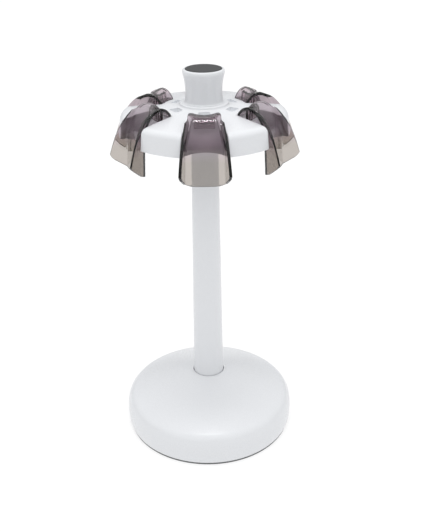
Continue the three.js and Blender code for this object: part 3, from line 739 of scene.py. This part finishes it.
def knob():
    """The waisted knob with a rolled lip, hollow, on a spigot that enters the head."""
    spigot = COUNTERBORE_RADIUS - GAP
    seat = low("knob_cap") + CAP_THICKNESS - GAP
    lip_low = (KNOB_LIP[0], KNOB_LIP[1] - 0.6)
    outline = path(
        (spigot - 1.6, low("knob"), 0.3),
        (spigot, low("knob"), 0.3),
        (spigot, KNOB_FOOT, 0),
        (KNOB_FLARE, KNOB_FOOT, 0.1),
        bezier((KNOB_FLARE, KNOB_FOOT + 0.12), (15.2, KNOB_FOOT + 0.35),
               (KNOB_WAIST + 0.05, KNOB_FOOT + 0.9), (KNOB_WAIST, KNOB_FOOT + 2), 8),
        bezier((KNOB_WAIST - 0.02, KNOB_FOOT + 2.3), (14.2, 311), (14.4, 319), lip_low, 26),
        bezier(lip_low, (16.8, 328.2), (16.1, KNOB_TOP), (15.2, KNOB_TOP), 10)[1:],
        (CAP_RADIUS + GAP, KNOB_TOP, 0.25),
        (CAP_RADIUS + GAP, seat, 0.3),
        (6, seat, 0),
        (6, seat - 2, 0),
        (12.2, seat - 2, 0.5),
        (11.8, 316, 0),
        (12.2, 306, 0),
        (spigot - 1.6, KNOB_SEAT + 0.5, 0),
    )
    body = turned("knob_fine", outline, FINE, shape=fluted)
    place(body, "carousel", WHITE, "white_plastic", "knob")


def knob_cap():
    """The slightly domed dark insert."""
    seat = low("knob_cap") + CAP_THICKNESS
    outline = rounded([
        (5.6, low("knob_cap"), 0.3), (5.6, seat, 0), (CAP_RADIUS, seat, 0.3),
        (CAP_RADIUS, CAP_TOP - 0.25, 0.6),
        (11, CAP_TOP - 0.05, 0), (8, CAP_TOP, 0), (0.2, CAP_TOP, 0), (0.2, low("knob_cap"), 0),
    ])
    cap = turned("knob_cap_fine", outline[:-1], MEDIUM, "capped")
    place(cap, "carousel", GREY_CAP, "grey_insert", "knob_cap")


# ---------------------------------------------------------------- hoods

def lengths(walk):
    """How far along a run of points each of them is."""
    return np.concatenate([[0], np.cumsum(np.linalg.norm(np.diff(walk, axis=0), axis=1))])


class Profile:
    """A curve in a hood's side view, (distance out, height), measured along its length."""

    def __init__(self, *curves):
        parts = [curves[0], *(c[1:] for c in curves[1:])]
        self.points = np.concatenate(parts)
        self.length = lengths(self.points)

    def at(self, s, inset=0):
        """The point s millimetres along, moved inward by inset."""
        ahead = self._on(s + 0.2) - self._on(s - 0.2)
        ahead /= np.linalg.norm(ahead)
        return self._on(s) + np.array((ahead[1], -ahead[0])) * inset

    def _on(self, s):
        return np.array([np.interp(s, self.length, self.points[:, k]) for k in (0, 1)])

    def reach(self, z):
        """How far along the curve comes down to height z, past its top."""
        past = np.arange(len(self.points)) >= np.argmax(self.points[:, 1])
        return np.interp(-z, -self.points[past, 1], self.length[past])


HOOD_FOOT = (34.9, 299.8)
RIDGE_TOP = (46.4, 306.8)
BACK_KNEE = (62, 281)
RISE = bezier(HOOD_FOOT, (38, 304), (40.7, 306.8), RIDGE_TOP, 60)
ARCH = Profile(RISE, bezier(RIDGE_TOP, (56.5, 306.8), (72.5, 293), (79.7, 262), 160))
BACK = Profile(
    RISE,
    bezier(RIDGE_TOP, (53.5, 306.6), (61, 295.1), BACK_KNEE, 100),
    np.array([BACK_KNEE, (63.6, 250)]),
)
RIDGE = float(ARCH.length[len(RISE) - 1])  # length of curve from the foot to the ridge


def lower_edge(x, y):
    """Height of the hood's cut lower edge, rim included: it dips under the back wall."""
    radius, z, tilt = HOOD_EDGE
    across, rise = np.array(EDGE_OUTLINE).T
    out, climb = np.array(EDGE_CORNER).T
    curve = np.interp(abs(y), across, rise) + np.interp(x, out, climb)
    return z + tilt * (x - radius) + curve + HOOD_RIM


def from_flank(along, distance, z):
    """A point given by its distance along a flank's plane and inward from it."""
    a = NOTCH_HALF_ANGLE
    x = along * math.cos(a) + distance * math.sin(a)
    y = along * math.sin(a) - distance * math.cos(a)
    return np.array((x, y, z))


def smooth(t):
    """An eased step from 0 to 1."""
    t = np.clip(t, 0, 1)
    return t * t * (3 - 2 * t)


def cheek_thickness(u):
    """A cheek's wall at u, as in cross_section: thickest at its shoulder, where it leaves the ridge."""
    return HOOD_WALL + CHEEK_EXTRA * smooth(u * 5) * (1 - smooth((u - 0.3) / 0.4))


def cross_section(u, columns=44):
    """One half row of the channel's inside, from a cheek's rim down the cheek to the wall's middle.

    u runs from -1 at the foot, through 0 on the ridge, to 1 at the lower edge.
    """
    if u <= 0:
        s_rim = s_wall = HOOD_RIM + (RIDGE - HOOD_RIM) * (u + 1)
    else:
        rim_length = ARCH.reach(lower_edge(CHEEK_END, CHEEK_END_ACROSS) - 0.5) - RIDGE
        wall_length = BACK.reach(lower_edge(BACK_KNEE[0] + 0.5, 0)) - RIDGE
        s_rim = RIDGE + u * (wall_length + u * (rim_length - wall_length))
        s_wall = RIDGE + u * wall_length
    rim_at = ARCH.at(s_rim, HOOD_RIM * smooth(u * 8))
    wall_at = BACK.at(s_wall)
    inward = GAP + cheek_thickness(u)
    outer = GAP + HOOD_RIM + (inward - GAP - HOOD_RIM) * smooth(u * 4)
    flat = (wall_at[0] - inward * math.sin(NOTCH_HALF_ANGLE)) / math.cos(NOTCH_HALF_ANGLE)
    corner_along = wall_at[0] + (flat - wall_at[0]) * smooth(u * 5)
    rim_point = from_flank(rim_at[0], outer, rim_at[1])
    corner = from_flank(corner_along, inward, wall_at[1])
    sag = HOOD_SAG * smooth((s_wall - 2) / 8) * (1 - smooth((s_wall - RIDGE - 8) / 18))
    middle = np.array((wall_at[0], 0, wall_at[1] - sag))

    cheek_steps = 40
    walk = [rim_point + (corner - rim_point) * t for t in np.linspace(0, 1, cheek_steps)]
    for t in np.linspace(0, 1, 60)[1:]:
        near = (1 - t) ** 2
        point = middle + (corner - middle) * near
        point[1] = corner[1] * (1 - t)
        walk.append(point)
    walk = np.array(walk)
    if u > 0:
        walk = round_corner(walk, cheek_steps - 1, HOOD_FILLET * smooth(u * 3))
    length = lengths(walk)
    even = np.linspace(0, length[-1], columns)
    return np.stack([np.interp(even, length, walk[:, k]) for k in range(3)], 1)


def round_corner(walk, at, radius):
    """The walk with its corner at index `at` cut by a smooth curve of about this radius."""
    length = lengths(walk)
    before = max(length[at] - radius, 0)
    after = length[at] + radius
    inside = (length > before) & (length < after)
    ends = [np.array([np.interp(s, length, walk[:, k]) for k in range(3)]) for s in (before, after)]
    share = np.clip((length - before) / (after - before), 0, 1)[:, None]
    turn = ends[0] * (1 - share) ** 2 + 2 * walk[at] * share * (1 - share) + ends[1] * share**2
    return np.where(inside[:, None], turn, walk)


def channel_skin(ridge_rows=14, wall_rows=60):
    """The channel's inside as a grid of points, row by row from the foot to the lower edge."""
    last = cross_section(1.0)
    edge = np.array([lower_edge(x, y) for x, y, _ in last]) - last[:, 2]
    levels = [*np.linspace(-1, 0, ridge_rows, endpoint=False), *np.linspace(0, 1, wall_rows) ** 1.15]
    grid = []
    for u in levels:
        half = cross_section(float(u))
        half[:, 2] += edge * smooth((u - 0.45) / 0.55)
        grid.append(np.concatenate([half, half[-2::-1] * np.array((1, -1, 1))]))
    return np.array(grid), np.array([cheek_thickness(u) for u in levels])


def outside_skin(grid, cheeks):
    """The channel's outside: its inside moved by the wall's thickness, greater on the cheeks."""
    normal = np.cross(np.gradient(grid, axis=0), np.gradient(grid, axis=1))
    normal /= np.linalg.norm(normal, axis=2, keepdims=True)
    sideways = np.abs(normal[..., 1]) ** 2
    thickness = HOOD_WALL + (cheeks[:, None] - HOOD_WALL) * sideways
    return grid + normal * thickness[..., None]


def rim(inside, outside):
    """Arcs that close the gap between two skins with a rounded edge, in order round the grid."""
    rows, columns = inside.shape[:2]
    walk = [(0, j) for j in range(columns)]
    walk += [(i, columns - 1) for i in range(1, rows)]
    walk += [(rows - 1, j) for j in range(columns - 2, -1, -1)]
    walk += [(i, 0) for i in range(rows - 2, 0, -1)]
    corners = {(0, 0), (0, columns - 1), (rows - 1, 0), (rows - 1, columns - 1)}
    middle = (inside + outside) / 2
    quarter = [math.pi / 8 * k for k in range(5)]
    rings = []
    for n, (i, j) in enumerate(walk):
        across = outside[i, j] - inside[i, j]
        across /= np.linalg.norm(across)
        out = middle[i, j] - middle[min(max(i, 1), rows - 2), min(max(j, 1), columns - 2)]
        if (i, j) not in corners:
            tangent = middle[walk[(n + 1) % len(walk)]] - middle[walk[n - 1]]
            tangent /= np.linalg.norm(tangent)
            out -= tangent * (out @ tangent)
        out -= across * (out @ across)
        out /= np.linalg.norm(out)
        curve = [(out * math.sin(a), across * (1 - math.cos(a))) for a in quarter]
        arc = [inside[i, j] + HOOD_RIM * (past + inward) for past, inward in curve]
        arc += [outside[i, j] + HOOD_RIM * (past - inward) for past, inward in curve[::-1]]
        rings.append(arc)
    return np.array(rings)


def tongue():
    """The ribbed plate that stands down from under the ridge."""
    radius, width, bottom = TONGUE
    half = width / 2
    across = np.linspace(-half, half, 61)
    wave = TONGUE_RIB_DEPTH * np.cos(across / half * TONGUE_RIBS * math.pi)
    front = np.stack([radius + HOOD_WALL / 2 - 0.3 + wave, across], 1)
    back = np.stack([np.full(len(across), radius - HOOD_WALL / 2), across[::-1]], 1)
    plan = np.concatenate([front, back])
    top = np.interp(radius, RISE[:, 0], RISE[:, 1]) - HOOD_SAG - 0.9  # within the ridge's wall
    levels = [(bottom, 0.35), (bottom + 0.12, 0.12), (bottom + 0.4, 0), (top, 0)]
    rings = [np.column_stack([shrink(plan, inset), np.full(len(plan), z)]) for z, inset in levels]
    return stack("tongue", rings)


def grid_faces(rows, columns):
    """The four-sided faces between the points of a grid."""
    return [
        (i * columns + j, i * columns + j + 1, (i + 1) * columns + j + 1, (i + 1) * columns + j)
        for i in range(rows - 1)
        for j in range(columns - 1)
    ]


def hood():
    """One whole holder, towards +X: an inside, an outside, the rounded edge between them, and the tongue."""
    inside, cheeks = channel_skin()
    outside = outside_skin(inside, cheeks)
    edge = rim(inside, outside)
    rows, columns = inside.shape[:2]
    count = rows * columns
    faces = grid_faces(rows, columns)
    faces += [tuple(v + count for v in face) for face in grid_faces(rows, columns)]
    arcs, steps = edge.shape[:2]
    for i in range(arcs):
        here = 2 * count + i * steps
        there = 2 * count + (i + 1) % arcs * steps
        faces += [(here + k, here + k + 1, there + k + 1, there + k) for k in range(steps - 1)]
    points = np.concatenate([part.reshape(-1, 3) for part in (inside, outside, edge)])
    return combine(add_mesh("hood", points, faces), [tongue()], "UNION")


def hoods():
    """The six holders, each on its own body."""
    one = hood()
    for i in range(HOOD_COUNT):
        name = f"holder_{i + 1}"
        item = tidy(copy_turned(one, f"{name}_fine", FRONT + i * STEP))
        place(item, f"hood_body_{i + 1}", SMOKE, "smoke_plastic", name)
    bpy.data.objects.remove(one)


# ---------------------------------------------------------------- the CAD nodes that stay

def carried_over():
    """Pieces that keep their CAD mesh, hidden inside, and get a material."""
    finishes = {
        "ballast_disc": (IRON, "cast_iron"),
        "tie_rod": (TURNED, "steel"),
        "rod_nut_lower": (STEEL, "steel"),
        "rod_nut_upper": (STEEL, "steel"),
        "rod_washer": (STEEL, "steel"),
        "retaining_washer": (STEEL, "steel"),
        "thrust_washer": (ACETAL, "acetal"),
        "spindle": (TURNED, "steel"),
        "hub_bush": (BRONZE, "bronze"),
    }
    for name, (material, slot) in finishes.items():
        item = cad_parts[name]
        item.data.materials.clear()
        item.data.materials.append(material)


# ---------------------------------------------------------------- stage, light and camera

FLOOR_GLOW = 0.70
SKY_AT_HORIZON = 0.2
SKY_OVERHEAD = 1.1
SOFTBOX_WATTS = 1.9
CAMERA_LENS = 52.4
CAMERA_PLACE = (0, -0.6018, 0.4660)  # metres; with the angles below, fitted to the photo's outlines
CAMERA_DOWN = math.radians(27.114)
CAMERA_ASIDE = -0.011  # radians
CAMERA_ROLL = -0.0126


def plain(name, colour, glow=0.0):
    """A matt material of one colour, for the stage."""
    material, _, shader = nodes_of(name)
    shader.inputs["Base Color"].default_value = (*colour, 1)
    shader.inputs["Roughness"].default_value = 0.9
    shader.inputs["Specular IOR Level"].default_value = 0.0
    shader.inputs["Emission Color"].default_value = (1, 1, 1, 1)
    shader.inputs["Emission Strength"].default_value = glow
    return material


def floor():
    """A plain round floor that glows a little, for the photo's near-white ground."""
    sides = MEDIUM
    turns = np.arange(sides) * 2 * math.pi / sides
    radii = (0.4, 1.2, 3.6, 9.0)
    rings = [np.stack([r * np.cos(turns), r * np.sin(turns), np.zeros(sides)], 1) / MM for r in radii]
    faces = [tuple(range(sides))]
    for i in range(len(radii) - 1):
        here = i * sides
        there = here + sides
        for j in range(sides):
            k = (j + 1) % sides
            faces.append((here + j, here + k, there + k, there + j))
    sheet = add_mesh("floor", np.concatenate(rings), faces)
    sheet.data.materials.append(plain("pale_floor", (0.34, 0.34, 0.34), FLOOR_GLOW))


def softbox(name, place_m, target_m, size, watts):
    """A rectangular lamp that faces its target. All measures are metres."""
    lamp = bpy.data.lights.new(name, "AREA")
    lamp.shape = "RECTANGLE"
    lamp.size, lamp.size_y = size
    lamp.energy = watts
    item = bpy.data.objects.new(name, lamp)
    bpy.context.scene.collection.objects.link(item)
    direction = Vector(target_m) - Vector(place_m)
    item.rotation_euler = direction.to_track_quat("-Z", "Y").to_euler()
    item.location = place_m


def light():
    """A white sky, dim at the horizon and bright overhead, and one softbox above the stand."""
    world = bpy.data.worlds.new("studio")
    bpy.context.scene.world = world
    world.use_nodes = True
    tree = world.node_tree
    place_in_sky = tree.nodes.new("ShaderNodeTexCoord").outputs["Generated"]
    split = tree.nodes.new("ShaderNodeSeparateXYZ")
    tree.links.new(place_in_sky, split.inputs["Vector"])
    strength = spread(tree, split.outputs["Z"], SKY_AT_HORIZON, SKY_OVERHEAD, 0.08, 0.55)
    sky = tree.nodes["Background"]
    sky.inputs["Color"].default_value = (1, 1, 1, 1)
    tree.links.new(strength, sky.inputs["Strength"])
    softbox("overhead", (0.0, -0.10, 1.25), (0, 0, 0.2), (0.34, 0.13), SOFTBOX_WATTS)
    bpy.context.scene.view_settings.view_transform = "Standard"


def camera():
    """The camera at the photo's angle."""
    data = bpy.data.cameras.new("camera")
    data.lens = CAMERA_LENS
    data.sensor_width = 36
    data.clip_start, data.clip_end = 0.02, 40
    item = bpy.data.objects.new("camera", data)
    bpy.context.scene.collection.objects.link(item)
    aside = Matrix.Rotation(CAMERA_ASIDE, 4, "Z")
    tilt = Matrix.Rotation(math.pi / 2 - CAMERA_DOWN, 4, "X")
    roll = Matrix.Rotation(CAMERA_ROLL, 4, "Z")
    item.matrix_world = Matrix.Translation(CAMERA_PLACE) @ aside @ tilt @ roll
    bpy.context.scene.camera = item


camera()
light()
floor()
foot_ring()
base_shell()
bottom_plate()
screws("base_screw", "stand", BASE_SCREW_CIRCLE, 3.3, 1.45, 14, FIRST_BASE_SCREW)
column_tube()
hub_shell()
hub_cover()
screws("cover_screw", "carousel", COVER_SCREW_CIRCLE, 2.7, 1.15, 9, FIRST_COVER_SCREW)
knob()
knob_cap()
hoods()
carried_over()
